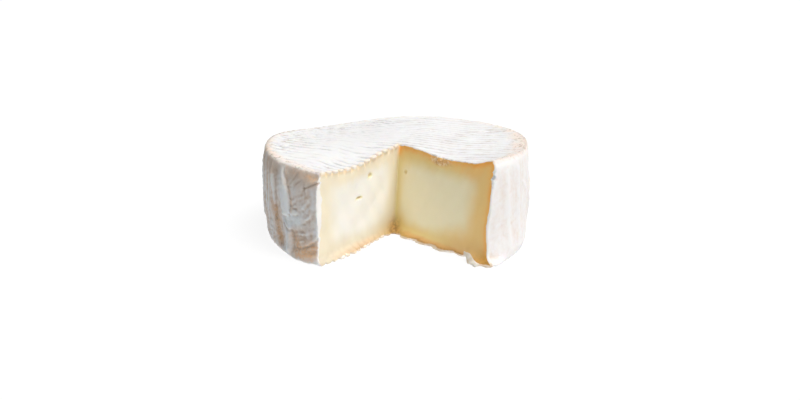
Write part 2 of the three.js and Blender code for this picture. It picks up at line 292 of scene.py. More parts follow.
def behind_cut(side, x, y, z):
    return -past_tip(CUT_FACING[side], x, y, z)


def sag_beside(side, x, y):
    depth, deepest, width = SAG[side]
    behind = behind_cut(side, x, y, WHEEL_HEIGHT)
    return depth * hump(behind, SAG_REACH) * hump(np.hypot(x, y) - deepest, width)


def top_height(x, y):
    across = np.minimum(np.hypot(x, y) / WHEEL_RADIUS, 1.08) ** 2
    bearing = np.arctan2(x, -y)
    ring = np.maximum(0, 4 * across * (1 - across))
    curl = CURL_RISE * near_bearing(bearing, CURL_BEARING, CURL_WIDTH)
    sag = mix(sag_beside("left", x, y), sag_beside("right", x, y), step(x, -12, 12))
    flat = mix(WHEEL_HEIGHT, rim_height(bearing), across)
    return flat - DISH_DEPTH * ring - sag + curl * step(across, 0.7, 1)


def all_pleats():
    gap = (BACK_PLEATS_TO - BACK_PLEATS_FROM) / BACK_PLEAT_COUNT
    pleats = list(PLEATS)
    for n in range(BACK_PLEAT_COUNT):
        top = BACK_PLEATS_FROM + gap * (n + 0.2 + 0.6 * draw(n + 1))
        base = top + mix(-5, 5, draw(n + 31))
        half = mix(2.2, 4.2, draw(n + 61))
        rise = mix(0.4, 1.5, draw(n + 91))
        pleats.append((top, base, half, rise, mix(-4, 14, draw(n + 121)), mix(30, 48, draw(n + 151))))
    return pleats


def pleat_rise(pleat, bearing, z):
    top, base, half, rise, low, high = pleat
    share = np.clip(z / WHEEL_HEIGHT, 0, 1)
    offset = near_zero(bearing - np.radians(mix(base, top, share)))
    half = math.radians(half)
    across = hump(offset, np.where(offset > 0, half * 0.6, half))
    starts = step(z, low - PLEAT_FADE, low + PLEAT_FADE)
    ends = 1 - step(z, high - PLEAT_FADE, high + PLEAT_FADE)
    return rise * across * starts * ends


def all_folds():
    """The placed folds, and loose ones scattered round the rest of the side."""
    folds = list(FOLDS)
    gap = (LOOSE_FOLDS_TO - LOOSE_FOLDS_FROM) / LOOSE_FOLD_COUNT
    for n in range(LOOSE_FOLD_COUNT):
        bearing = LOOSE_FOLDS_FROM + gap * (n + draw(n + 301))
        middle = mix(5, 41, draw(n + 401))
        rise = mix(0.2, 0.75, draw(n + 501)) * (1 if draw(n + 601) > 0.4 else -1)
        if draw(n + 701) < 0.45:
            length, lean = mix(8, 20, draw(n + 801)), mix(-3, 3, draw(n + 901))
            bow = mix(-2, 2, draw(n + 951))
            high, low = middle + length / 2, middle - length / 2
            path = [(bearing + lean, high), (bearing + bow, middle), (bearing - lean, low)]
            folds.append((path, rise, 3.0, 1.2, 0.4 * max(rise, 0)))
        else:
            reach, lean = mix(3, 8, draw(n + 801)), mix(-4, 4, draw(n + 901))
            path = [(bearing - reach / 2, middle - lean), (bearing + reach / 2, middle + lean)]
            folds.append((path, 0.8 * rise, 1.0, 2.0, 0))
    return folds


def beside_path(path, bearing, z):
    """Distance from a path on the side, negative before it and positive past it."""
    nearest = np.full(np.shape(z), 1e3)
    scale = math.radians(1) * WHEEL_RADIUS
    for (bearing_a, z_a), (bearing_b, z_b) in zip(path, path[1:]):
        run, rise = (bearing_b - bearing_a) * scale, z_b - z_a
        across = near_zero(bearing - math.radians(bearing_a)) * WHEEL_RADIUS
        up = z - z_a
        share = np.clip((across * run + up * rise) / (run * run + rise * rise), 0, 1)
        gap = np.hypot(across - share * run, up - share * rise)
        signed = np.where(run * up - rise * across < 0, -gap, gap)
        nearest = np.where(gap < np.abs(nearest), signed, nearest)
    return nearest


def fold_rise(fold, bearing, z):
    path, rise, before, past, crease = fold
    offset = beside_path(path, bearing, z)
    crest = rise * hump(offset, np.where(offset > 0, past, before))
    return crest - crease * hump(offset - 1.9 * past, past)


def creases(bearing, z):
    """Short shallow creases and fine leaning wrinkles all over the side, fainter at the right."""
    across, up = bearing * WHEEL_RADIUS, z
    lean, turn = 0.32, np.sin(bearing) * 2
    place = np.stack([(across + lean * up) / 8.0, (up - lean * across) / 2.8, turn], -1)
    narrow = fine_lines(place, 3.0)
    broad = noise_at(place * [2.4, 0.22, 1] + 9, 1)
    bend = noise_at(np.stack([across / 11, up / 7, turn + 4], -1), 1)
    patch = step(noise_at(np.stack([across / 10, up / 8, turn + 8], -1), 1), -0.25, 0.2)
    wrinkles = np.sin(2 * math.pi * ((up - 0.42 * across) / 2.6 + 1.3 * bend)) * patch
    grain = noise_at(np.stack([across / 1.3, up / 2.6, turn + 12], -1), 1)
    from_calm = np.abs(near_zero(bearing - math.radians(CALM_BEARING)))
    depth = mix(0.3, 1, step(from_calm, 0.5, 1.3))
    return depth * (0.26 * broad - 0.26 * narrow + 0.11 * wrinkles + 0.14 * grain)


def folds(bearing, z):
    rise = sum(pleat_rise(pleat, bearing, z) for pleat in all_pleats())
    fine = sum(fold_rise(fold, bearing, z) for fold in all_folds())
    return rise + fine + creases(bearing, z)


def rounded_in(height, inset, past):
    share = np.clip(past / height, 0, 1)
    return inset * (1 - np.sqrt(1 - share * share))


def foot_spread(bearing, z):
    return sum(
        reach * near_bearing(bearing, middle, width) * below(z, 0, height)
        for middle, width, reach, height in FOOT_FLARES
    )


def wall_radius(bearing, z):
    height = rim_height(bearing)
    slump = near_bearing(bearing, SLUMP_BEARING, SLUMP_WIDTH)
    past = np.clip((z - height + SLUMP_HEIGHT) / SLUMP_HEIGHT, 0, 1)
    return (
        WHEEL_RADIUS
        - OUT_OF_ROUND * np.sin(bearing)
        + BULGE_REACH * near_bearing(bearing, BULGE_BEARING, BULGE_WIDTH)
        + BELLY * np.sin(math.pi * np.clip(z, 0, height) / height)
        - rounded_in(FOOT_HEIGHT, FOOT_INSET, FOOT_HEIGHT - z)
        + foot_spread(bearing, z)
        - rounded_in(SHOULDER_HEIGHT, SHOULDER_INSET, z - height + SHOULDER_HEIGHT)
        - SLUMP_INSET * slump * past * past
        + folds(bearing, z) * step(z, 0, 5) * (1 - step(z, height - 6, height))
    )


def ridge_wander(run, level):
    return sum(
        reach * np.sin(2 * math.pi * (run / length + drift * level) + phase)
        for reach, length, phase, drift in RIDGE_WANDER
    )


def groove(level, pitch):
    """How deep in a groove between two ridges, 0 to 1."""
    return np.maximum(0, np.cos(2 * math.pi * level / pitch)) ** 1.3


def ridge_place(x, y, aside):
    """How far along the ridges a point lies, and how far across them, less their wander."""
    along, across = heading(RIDGE_BEARING), heading(RIDGE_BEARING + math.pi / 2)
    run, over = x * along[0] + y * along[1], x * across[0] + y * across[1] - aside
    level = over
    for _ in range(3):
        level = over - ridge_wander(run, level)
    return run, level


def pressed_top(x, y, run, level):
    """How far the mat's grooves, and fine broken lines beside them, are pressed into the top."""
    place = np.stack([run, level, np.full(len(run), 3.0)], -1)
    slant = np.stack([run + 0.22 * level, level - 0.22 * run, np.full(len(run), 6.0)], -1)
    right_half = step(x, *RIGHT_HALF)
    patch = np.clip(0.65 + 2.0 * noise_at(place / [8, 3, 1], 1), 0.05, 1.5)
    patch = mix(patch, np.clip(0.8 + 1.2 * noise_at(place / [22, 3, 1], 1), 0.2, 1.4), right_half)
    broken = np.clip(0.7 + 1.8 * noise_at(place + 50, 8), 0, 1.4)
    broken = mix(broken, np.clip(1.0 + 1.2 * noise_at(place + 50, 12), 0.3, 1.5), right_half)
    short = fine_lines(place / [7, 1.7, 1] + 7, 3.2)
    long = fine_lines(place / [20, 1.9, 1] + 27, 3.2)
    crossing = fine_lines(slant / [15, 1.9, 1], 3.2)
    fine = mix(0.34 * short, 0.3 * long + 0.3 * crossing, right_half)
    behind_left = behind_cut("left", x, y, WHEEL_HEIGHT)
    behind_right = behind_cut("right", x, y, WHEEL_HEIGHT)
    on_left = step(-x, -6, 2)
    depth = 1 - 0.7 * hump(behind_right, 6) * step(x, 4, 12)
    depth = depth + (0.45 * hump(behind_left - 50, 14) - 0.55 * hump(behind_left - 20, 15)) * on_left
    depth_by_rim = 1 - 0.5 * step(np.hypot(x, y), 0.85 * WHEEL_RADIUS, WHEEL_RADIUS)
    even = hump(behind_left, 4) * on_left
    ridged = TOP_GROOVE * groove(level, TOP_PITCH) * mix(patch, 1.0, even)
    return depth_by_rim * depth * (ridged + fine * broken)


def pressed_base(x, y):
    return BASE_GROOVE * groove(ridge_place(x, y, BASE_ASIDE)[1], BASE_PITCH)


def cut_relief(side, along, z):
    swell = CUT_BULGE * np.sin(math.pi * np.clip(z / WHEEL_HEIGHT, 0, 1))
    uneven = 0.2 * np.sin(0.23 * along + 0.31 * z) + 0.12 * np.sin(0.61 * along - 0.4 * z)
    lip = step(along, 1, 7) * level_at(LIP_REACH[side], along) * below(z, 0, LIP_HEIGHT)
    toe = 0
    if side == "right":
        start, full, fall, end = TOE_SPAN
        toe = TOE_REACH * step(along, start, full) * (1 - step(along, fall, end)) * below(z, 0, TOE_HEIGHT)
    return step(along, 2, 14) * (swell + uneven) + lip + toe


# ---- making the pieces that are cut and joined ----


def cut_cube(cuts_x, cuts_y, cuts_z):
    """A unit cube whose edges along each axis are cut into even steps."""
    bm = bmesh.new()
    bmesh.ops.create_cube(bm, size=1)
    for axis, cuts in enumerate((cuts_x, cuts_y, cuts_z)):
        if cuts:
            ring = [e for e in bm.edges if abs((e.verts[0].co - e.verts[1].co)[axis]) > 1e-6]
            bmesh.ops.subdivide_edges(bm, edges=ring, cuts=cuts, use_grid_fill=True)
    return bm


def add_object(name, data):
    item = bpy.data.objects.new(name, data)
    bpy.context.scene.collection.objects.link(item)
    return item


def piece_from(bm, name):
    mesh = bpy.data.meshes.new(name)
    bmesh.ops.recalc_face_normals(bm, faces=bm.faces)
    bm.to_mesh(mesh)
    bm.free()
    return add_object(name, mesh)


def vectors_of(items, name):
    vectors = np.empty(len(items) * 3, np.float32)
    items.foreach_get(name, vectors)
    return vectors.reshape(-1, 3).astype(float)


def points_of(mesh):
    return vectors_of(mesh.vertices, "co")


def normals_of(mesh):
    return vectors_of(mesh.vertex_normals, "vector")


def set_points(mesh, points):
    mesh.vertices.foreach_set("co", points.astype(np.float32).ravel())
    mesh.update()


def make_drum():
    """The side, as a closed drum that runs past the top and the base.

    Its columns lie closer on the left front, and its rows by the top and the base.
    """
    columns, rows = ((660, 94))
    overrun, crowding = 6, 0.35
    bm = bmesh.new()
    bmesh.ops.create_cone(bm, cap_ends=True, segments=columns, radius1=1, radius2=1, depth=1)
    upright = [e for e in bm.edges if abs(e.verts[0].co.z - e.verts[1].co.z) > 0.5]
    bmesh.ops.subdivide_edges(bm, edges=upright, cuts=rows - 1, use_grid_fill=True)
    drum = piece_from(bm, "drum")
    points = points_of(drum.data)
    turn = np.arctan2(points[:, 0], -points[:, 1])
    bearing = turn + crowding * np.sin(turn - math.radians(120))
    height = rim_height(bearing)
    row = np.round((points[:, 2] + 0.5) * rows)
    share = np.clip((row - 1) / (rows - 2), 0, 1)
    z = height * mix(share, (1 - np.cos(math.pi * share)) / 2, 0.4)
    radius = wall_radius(bearing, z)
    z = z + overrun * (row == rows) - overrun * (row == 0)
    moved = np.stack([np.sin(bearing) * radius, -np.cos(bearing) * radius, z], 1)
    set_points(drum.data, moved)
    return drum


def make_slab():
    """The slice between the ridged top and the ridged base."""
    span, columns, rows_per_ridge = 152.0, 102, 8
    rows = 2 * round(span * rows_per_ridge / BASE_PITCH / 2)
    slab = piece_from(cut_cube(columns - 1, rows - 1, 0), "slab")
    points = points_of(slab.data)
    above = points[:, 2] > 0
    run = points[:, 0] * span
    level = np.round(points[:, 1] * rows) * np.where(above, TOP_PITCH, BASE_PITCH) / rows_per_ridge
    over = level + np.where(above, TOP_ASIDE, BASE_ASIDE) + ridge_wander(run, level)
    along, across = heading(RIDGE_BEARING), heading(RIDGE_BEARING + math.pi / 2)
    x = run * along[0] + over * across[0]
    y = run * along[1] + over * across[1]
    top = top_height(x, y) - pressed_top(x, y, run, level)
    z = np.where(above, top, BASE_GROOVE * groove(level, BASE_PITCH))
    set_points(slab.data, np.stack([x, y, z], 1))
    return slab


def make_notch():
    """The wedge that is taken out."""
    reach, heights = 92.0, (-6.0, 58.0)
    columns, rows = 92, 64
    notch = piece_from(cut_cube(columns - 1, 0, rows - 1), "notch")
    points = points_of(notch.data)
    along = (points[:, 0] + 0.5) * reach
    z = mix(*heights, points[:, 2] + 0.5)
    moved = np.empty_like(points)
    for side, sign in (("right", 1), ("left", -1)):
        here = points[:, 1] * sign > 0
        proud = cut_relief(side, along[here], z[here])[:, None]
        tip = tip_at(z[here]) + [sign * TIP_WIDTH / 2, 0]
        moved[here, :2] = tip + CUT_HEADING[side] * along[here][:, None] + CUT_FACING[side] * proud
    moved[:, 2] = z
    set_points(notch.data, moved)
    return notch


def make_eye(number, side, along, up, size):
    """One opening in the paste, sunk into the face of its cut."""
    bm = bmesh.new()
    bmesh.ops.create_icosphere(bm, subdivisions=3, radius=1)
    eye = piece_from(bm, f"eye_{number}")
    points = points_of(eye.data)
    hand = 1 if side == "left" else -1  # the right cut's eyes are mirrored
    out = float(cut_relief(side, along, up)) + points[:, 1] * size[1]
    ahead = along + hand * points[:, 0] * size[0]
    tip = tip_at(up)
    flat = tip + ahead[:, None] * CUT_HEADING[side] + out[:, None] * CUT_FACING[side]
    set_points(eye.data, np.column_stack([flat, up + points[:, 2] * size[2]]))
    return eye


def finished_mesh(piece, extras=()):
    """The piece's mesh with its modifiers applied. The piece and its extras are removed."""
    mesh = bpy.data.meshes.new_from_object(piece.evaluated_get(bpy.context.evaluated_depsgraph_get()))
    for used in [piece, *extras]:
        bpy.data.objects.remove(used)
    mesh.materials.clear()
    return mesh


def make_body():
    """The cut wheel as one closed skin of even, small faces."""
    drum = make_drum()
    cutters = [(make_slab(), "INTERSECT"), (make_notch(), "DIFFERENCE")]
    cutters += [(make_eye(number, *eye), "DIFFERENCE") for number, eye in enumerate(EYES)]
    for cutter, operation in cutters:
        change = drum.modifiers.new(cutter.name, "BOOLEAN")
        change.object = cutter
        change.operation = operation
        change.solver = "MANIFOLD"
    skin = drum.modifiers.new("skin", "REMESH")
    skin.mode = "VOXEL"
    skin.voxel_size = SKIN_VOXEL
    return finished_mesh(drum, [cutter for cutter, _ in cutters])


def thin_out(mesh):
    """The same skin with fewer faces, but none lost from the left front's folds or the cut rind."""
    x, y, z = points_of(mesh).T
    bearing = np.degrees(np.arctan2(x, -y))
    on_side = (np.hypot(x, y) > KEPT_RADIUS) & (z > 1)
    folded = (bearing > KEPT_FOLDS_FROM) & (bearing < KEPT_FOLDS_TO) & on_side
    edge = sliced(x, y, z) * (1 - step(np.minimum(top_height(x, y) - z, z), 3, 4)) > 0.5
    triangles = sum(len(face.vertices) - 2 for face in mesh.polygons)
    piece = add_object("skin", mesh)
    thinned = piece.vertex_groups.new(name="thinned")
    thinned.add(np.flatnonzero(~(folded | edge)).tolist(), 1.0, "REPLACE")
    fewer = piece.modifiers.new("fewer", "DECIMATE")
    fewer.ratio = min(1, MOST_TRIANGLES / triangles)
    fewer.vertex_group = "thinned"
    return finished_mesh(piece)


# ---- the wheel's skin ----


def rind_depths(points):
    """How far inside the top, the base and the side each point lies."""
    x, y, z = points.T
    bearing = np.arctan2(x, -y)
    top = top_height(x, y) - pressed_top(x, y, *ridge_place(x, y, TOP_ASIDE)) - z
    return top, z - pressed_base(x, y), wall_radius(bearing, z) - np.hypot(x, y)


def on_right(x, z):
    """1 right of the line where the cuts meet, 0 left of it."""
    return step(x - tip_at(z)[..., 0], -1.0, 0.6)


def soft_least(values, softness):
    """The least of several arrays, with rounded corners where two are close."""
    return -softness * np.log(sum(np.exp(-np.clip(v, -20, 60) / softness) for v in values))


def hollows(mesh, rounds):
    """How far each point lies below the skin round it, in millimetres; less than 0 on crests."""
    pairs = np.empty(len(mesh.edges) * 2, np.int32)
    mesh.edges.foreach_get("vertices", pairs)
    a, b = pairs.reshape(-1, 2).T
    count = len(mesh.vertices)
    near = np.bincount(a, minlength=count) + np.bincount(b, minlength=count)
    points = points_of(mesh)
    smooth = points.copy()
    for _ in range(rounds):
        total = [
            np.bincount(a, smooth[b, axis], count) + np.bincount(b, smooth[a, axis], count)
            for axis in range(3)
        ]
        smooth = 0.5 * smooth + 0.5 * np.stack(total, 1) / np.maximum(near, 1)[:, None]
    return ((smooth - points) * normals_of(mesh)).sum(1)


def into_cut(side, x, y, z):
    """How far a point lies under the face of a cut, less than 0 in front of it."""
    return behind_cut(side, x, y, z) + cut_relief(side, along_cut(side, x, y, z), z)


def crests(x, y):
    """1 on the ridges of the top and of the base, 0 in their grooves."""
    top = groove(ridge_place(x, y, TOP_ASIDE)[1], TOP_PITCH)
    base = groove(ridge_place(x, y, BASE_ASIDE)[1], BASE_PITCH)
    return 1 - top, 1 - base


def swell_rind(points, top, base):
    """How far the cut rind bulges out of the cuts: beads at the ridges, lumps by the base."""
    x, y, z = points.T
    on_top, on_base = crests(x, y)
    left = hump(into_cut("left", x, y, z), 1.2) * (1 - on_right(x, z))
    right = hump(into_cut("right", x, y, z), 1.2) * on_right(x, z)
    uneven = noise_at(points + 15, 3.0)
    frayed = noise_at(points + 25, 1.2)
    beads = hump(top - 0.8, 1.3) * (1.15 * on_top - 0.45 + 0.7 * uneven)
    lumps = hump(base - 0.8, 1.2) * (0.4 * on_base + 0.8 * uneven - 0.05)
    lumps = lumps * (1 - 0.85 * step(along_cut("left", x, y, z), 44, 54))
    ragged = hump(base - 0.5, 0.9) * (0.15 + 0.6 * uneven) + 0.3 * hump(top, 0.8) * (uneven + frayed)
    out = left * (beads + lumps)
    return out[:, None] * CUT_FACING["left"] + (right * ragged)[:, None] * CUT_FACING["right"]


def crumbled(x, y, z):
    """1 at the one crumbled place, falling away round it."""
    start, reach, height, rise = CRUMBLED
    near = hump(along_cut("right", x, y, z) - start, reach) * hump(z - height, rise)
    return near * hump(behind_cut("right", x, y, z), 2.5)


def roughen(mesh):
    """Fuzzy lumps on the rind, the cut rind's bulges, a faint crumb and one crumbled place."""
    points = points_of(mesh)
    x, y, z = points.T
    top, base, side = rind_depths(points)
    outside = 1 - step(np.minimum(np.minimum(top, base), side), 0.3, 0.9)
    lumps = 0.13 * noise_at(points, 2.6) + 0.1 * noise_at(points + 70, 1.3)
    crumb = 0.07 * noise_at(points + 30, 3.5) + 0.05 * noise_at(points + 50, 1.2)
    crumbly = 1.1 * noise_at(points, 1.9) + 0.8 * noise_at(points + 40, 1.2) + 0.1
    moved = mix(crumb, lumps, outside) + crumbled(x, y, z) * crumbly
    points_out = points + normals_of(mesh) * moved[:, None]
    points_out[:, :2] += swell_rind(points, top, base)
    set_points(mesh, points_out)


def at_places(places, bearing, z):
    shares = [strength * hump(beside_path(path, bearing, z), half) for path, half, strength in places]
    return np.clip(sum(shares), 0, 1)


def sliced(x, y, z):
    """1 on the cut faces, 0 on the rind's own surface."""
    nearest = np.full(len(x), 9.0)
    for side, sign in (("left", -1), ("right", 1)):
        here = sign * (x - tip_at(z)[..., 0]) > -1
        into = np.maximum(0, into_cut(side, x, y, z))
        nearest = np.where(here, np.minimum(nearest, into), nearest)
    return 1 - step(nearest, 0.5, 1.1)


def near_eyes(x, y, z):
    """1 inside each eye in the paste, falling away round it."""
    nearest = np.full(len(x), 9.0)
    for side, along, up, size in EYES:
        ahead = (along_cut(side, x, y, z) - along) / size[0]
        into = behind_cut(side, x, y, z) / 2.5
        nearest = np.minimum(nearest, np.hypot(np.hypot(ahead, (z - up) / size[2]), into))
    return 1 - step(nearest, 0.75, 1.5)


class SkinPlaces:
    """Where the points of the skin lie, worked out once for all that the finish reads."""

    def __init__(self, mesh):
        points = points_of(mesh)
        x, y, z = points.T
        self.x, self.y, self.z = x, y, z
        self.bearing = np.arctan2(x, -y)
        self.top, self.base, self.side = rind_depths(points)
        # the right cut's golden paste is partly painted warm shade and bounce light, partly a riper paste
        self.golden = on_right(x, z)  # the right cut's paste is golden
        self.left_along = along_cut("left", x, y, z)
        self.right_along = along_cut("right", x, y, z)
        self.from_tip = np.linalg.norm(points[:, :2] - tip_at(z), axis=1)
        self.uneven = noise_at(points + 15, 3.0)


def cut_rind_values(at):
    """How thick the cut rind is, and where it is pitted, torn with painted shade, or curled out at the
    foot.
    """
    golden, ahead, z = at.golden, at.right_along, at.z
    on_top, on_base = crests(at.x, at.y)
    on_cut = sliced(at.x, at.y, z) * mix(step(at.side, 0.05, 0.45), 1, golden)
    curled = golden * step(ahead, 49, 52) * (1 - step(ahead + 1.75 * z, 64, 66))
    curled = curled * (1 - step(z - 0.16 * (ahead - 50), 2.6, 3.8))
    # the torn rind at the right cut's outer edge: thicker, and grey-blue with painted shade in its small
    # notches
    torn_and_shaded = golden * hump(z - 42.5, 4.5)
    left_base = np.clip(0.5 + 0.8 * on_base + 0.8 * at.uneven, 0.4, 1.7)
    left_base = left_base * (1 - 0.75 * step(at.left_along, 42, 52))
    left_side = level_at(LEFT_RIND, z) + 0.4 * at.uneven
    right_side = 0.5 + 0.9 * torn_and_shaded + 0.9 * hump(z - 24, 12)
    return {
        "top_depth": at.top,
        "base_depth": at.base + 0.55 * on_cut * pressed_base(at.x, at.y),
        "side_depth": at.side,
        "top_rind": mix(mix(0.3, 1.7, on_top), 0.5, golden),
        "base_rind": mix(left_base, 1.15 + 6 * curled, golden),
        "side_rind": mix(left_side, right_side, golden),
        "sliced": on_cut,
        "pitted": np.where(at.top < 8, 1 - on_top, 0.6 - at.uneven),
        "curled": curled,
        "torn_and_shaded": torn_and_shaded,
    }


def paste_values(at):
    """Which cut a point is on, how near the core, and how near the tip, the foot and the eyes."""
    golden, ahead, from_tip, z = at.golden, at.right_along, at.from_tip, at.z
    apex_reach = mix(mix(1.5, 2.3, golden), mix(1.1, 3.2, golden), step(z, 36, 44))
    core = soft_least([
        at.top / mix(7.6, 8.4, golden),
        at.base / mix(7.2, mix(8.2, 11.5, step(ahead, 22, 46)), golden),
        at.side / 13,
        (from_tip + mix(4, 6, golden)) / mix(11, 9, golden),
    ], 0.35)
    by_foot = below(z, 3, mix(5.5, 9, golden))
    # painted shade on the left cut by the corner where the cuts meet, wider towards the foot
    shade = np.maximum(hump(from_tip, 7), hump(from_tip, 19) * below(z, 8, 13))
    return {
        "golden": golden,
        "core": np.clip(core, -1, 4),
        "low_left": (1 - golden) * (1 - 0.6 * step(at.left_along, 34, 50)),
        "browned": mix(1 - step(at.left_along, 20, 56), 0.9, golden),
        "outer": golden * step(ahead, 36, 56),
        "outer_low": golden * step(ahead, 26, 50) * below(z, 2, 7),
        # a narrow strip along the corner where the cuts meet: orange by the top, and partly painted shade
        # in the corner
        "apex": hump(from_tip, apex_reach) * mix(0.7, 1, step(z, 30, 42)),
        "apex_low": hump(from_tip - 1, mix(14, 8, golden)) * by_foot,
        "apex_foot": hump(from_tip - 0.5, 4.2) * hump(z - 2, 5),
        "painted_apex_shade": (1 - golden) * shade,
        "toe": golden * hump(ahead - 65, 5) * hump(z - 2, 3.5),
        "eye": near_eyes(at.x, at.y, z),
        "crumbled": crumbled(at.x, at.y, z),
    }


def side_values(at):
    """Where the side is, where it is worn or smooth, and where shade is painted on its left, under its rim
    and in one crease.
    """
    return {
        "flank": step(at.top, 0.4, 1.2) * step(at.base, 0.3, 1.2),
        "worn_and_crease_shade": at_places(WORN_PLACES_AND_CREASE_SHADE, at.bearing, at.z),
        "smooth": at_places(SMOOTH_PLACES, at.bearing, at.z),
        # the left side, darker with painted shade
        "dusky_and_shaded": step(np.cos(at.bearing - math.radians(SHADED_SIDE_BEARING)), -0.25, 0.55),
        "by_corner": near_bearing(at.bearing, *CUT_CORNER),
        # brown with painted shade under the rim's shoulder on the left front
        "brown_shade_under_rim": hump(at.top - 4.5, 6.0) * near_bearing(at.bearing, *LEFT_FRONT),
    }


def top_values(at):
    """How deep in a groove a point of the top is, and how its rim is edged, lined and streaked."""
    left_front = near_bearing(at.bearing, *LEFT_FRONT)
    back_left = near_bearing(at.bearing, *BACK_LEFT)
    right_rim = near_bearing(at.bearing, *RIGHT_RIM)
    rim_reach = 0.6 + 2.6 * near_bearing(at.bearing, *WIDE_RIM) + 8 * right_rim
    rim_share = 0.35 + 0.65 * np.maximum(left_front, 1.5 * right_rim)
    line = hump(at.top, 1.0) * (1 - step(at.side, 0.3, 1.6))
    pressed = pressed_top(at.x, at.y, *ridge_place(at.x, at.y, TOP_ASIDE))
    return {
        "right_half": step(at.x, *RIGHT_HALF),
        "lined": np.clip(pressed / 0.75, 0, 1.3),
        "stroke": below(at.side, 0, 12) * np.maximum(back_left, 0.5 * left_front),
        "rim": hump(at.top, 1.2) * (1 - step(at.side, 0.3 * rim_reach, rim_reach + 4)) * rim_share,
        "rim_line": np.maximum(back_left, 0.55 * right_rim) * line,
        "rim_warm": near_bearing(at.bearing, *WARM_RIM),
    }


def write_rind_attributes(mesh):
    """All that the finish reads at the points of the skin."""
    at = SkinPlaces(mesh)
    values = cut_rind_values(at) | paste_values(at) | side_values(at) | top_values(at)
    rounds, full_depth = 14, 0.3
    values["hollow"] = np.clip(hollows(mesh, rounds) / full_depth, -1, 1)
    for name, value in values.items():
        layer = mesh.attributes.new(name, "FLOAT", "POINT")
        layer.data.foreach_set("value", np.asarray(value, np.float32))


def make_cheese():
    mesh = make_body()
    roughen(mesh)
    mesh = thin_out(mesh)
    mesh.name = "cheese"
    write_rind_attributes(mesh)
    set_points(mesh, (points_of(mesh) + WHEEL_CENTRE) / 1000)
    mesh.shade_smooth()
    return add_object("cheese", mesh)


# ---- finishes ----

# A pair of colours is mixed by a share: the first where it is 0, the second where it is 1.
WHITE_MOULD = (0.91, 0.885, 0.87), (0.82, 0.71, 0.63)  # thick, and thin over the rind
# grey mould for the left side: painted shade on a slightly greyer mould
SHADED_GREY_MOULD = (0.72, 0.685, 0.66), (0.695, 0.71, 0.72)
SHADED_THIN_MOULD, BLUISH_MOULD = (0.555, 0.455, 0.38), (0.725, 0.765, 0.785)
# the first is brown with painted shade, for under the rim
BROWN_SHADE_UNDER_RIM, DARK_SPECKS = (0.485, 0.40, 0.33), (0.34, 0.24, 0.17)
WORN_RIND = (0.56, 0.37, 0.23), (0.80, 0.52, 0.305)
TOP_MOULD = (0.92, 0.91, 0.903), (0.95, 0.947, 0.945)  # left half, right half
# greyer where the mat pressed grooves and lines into the top: partly painted shade, partly grey mould
TOP_GROOVES_AND_SHADE = (0.55, 0.53, 0.53), (0.62, 0.55, 0.52)
TOP_STROKES, RIM_LINE, RIM_SPECKS = (0.46, 0.36, 0.28), (0.52, 0.43, 0.36), (0.62, 0.50, 0.41)
RIM_EDGE = (1.0, 0.87, 0.79), (0.90, 0.74, 0.59)
# painted shade for the side's creases, lighter in the white mould and darker in the left side's mould
CREASE_SHADE = (0.78, 0.67, 0.59), (0.46, 0.385, 0.325)  # in white mould, in dusky mould
CUT_RIND = (0.975, 0.94, 0.905), (0.93, 0.80, 0.66)
CURLED_RIND = (0.84, 0.82, 0.77), (0.70, 0.62, 0.50)
# grey-blue painted shade in the torn rind's notches
TORN_RIND_AND_SHADE = (0.84, 0.855, 0.86), (0.50, 0.53, 0.55)
RIND_PITS = (0.71, 0.56, 0.41)

# The left cut's paste is paler where the light falls full on it, and the right's is deeper and warmer in
# shade: partly painted light and shade, partly a riper paste.
LIT_LEFT_CREAM, SHADED_RIGHT_CREAM = (0.935, 0.835, 0.635), ((0.93, 0.72, 0.31), (0.945, 0.65, 0.255))
LIT_AND_SHADED_CHALK = (0.95, 0.92, 0.845), (0.985, 0.885, 0.61)  # on the left cut, on the right one
TAN, ORANGE, PEACH = (1.0, 0.60, 0.195), (1.0, 0.47, 0.09), (1.0, 0.77, 0.49)
DULL_CREAM, DULL_TAN, DEEP_TAN = (0.78, 0.72, 0.56), (0.64, 0.55, 0.41), (0.80, 0.51, 0.195)
BASE_GOLD = (0.74, 0.54, 0.34), (0.80, 0.45, 0.15)
BASE_BROWN = (0.60, 0.38, 0.20), (0.48, 0.25, 0.07)
# the first is painted shade for the left cut's corner by the tip
PAINTED_APEX_SHADE, EYE_WALL = (0.80, 0.745, 0.59), (0.88, 0.74, 0.36)
APEX_NEAR_FOOT = (0.74, 0.50, 0.175), (0.72, 0.55, 0.175)
# the strip along the corner by the tip: its own orange and tan, partly painted shade
HIGH_APEX_AND_SHADE = (0.96, 0.72, 0.43), (1.0, 0.48, 0.10)
LOW_APEX_AND_SHADE = (0.81, 0.64, 0.29), (0.84, 0.73, 0.36)
BROWN_TOE = (0.66, 0.34, 0.07), (0.46, 0.25, 0.05)
CRUMBS = (0.98, 0.74, 0.46), (0.80, 0.48, 0.18)
CRUST = (0.70, 0.42, 0.12), (0.40, 0.20, 0.05)


def new_material(name):
    material = bpy.data.materials.new(name)
    material.use_nodes = True
    tree = material.node_tree
    shader = tree.nodes["Principled BSDF"]
    return material, tree, shader


def put(tree, socket, value):
    if isinstance(value, bpy.types.NodeSocket):
        tree.links.new(value, socket)
    elif isinstance(value, tuple) and socket.type == "RGBA":
        socket.default_value = (*value, 1)
    else:
        socket.default_value = value


def set_inputs(tree, node, values):
    for name, value in values.items():
        put(tree, node.inputs[name], value)


def add_node(tree, kind, values, **settings):
    """A new node with its settings made and its inputs set or linked."""
    node = tree.nodes.new("ShaderNode" + kind)
    for name, setting in settings.items():
        setattr(node, name, setting)
    set_inputs(tree, node, values)
    return node


def attribute(tree, name):
    return add_node(tree, "Attribute", {}, attribute_name=name).outputs["Fac"]


def maths(tree, operation, *values):
    return add_node(tree, "Math", dict(enumerate(values)), operation=operation).outputs[0]


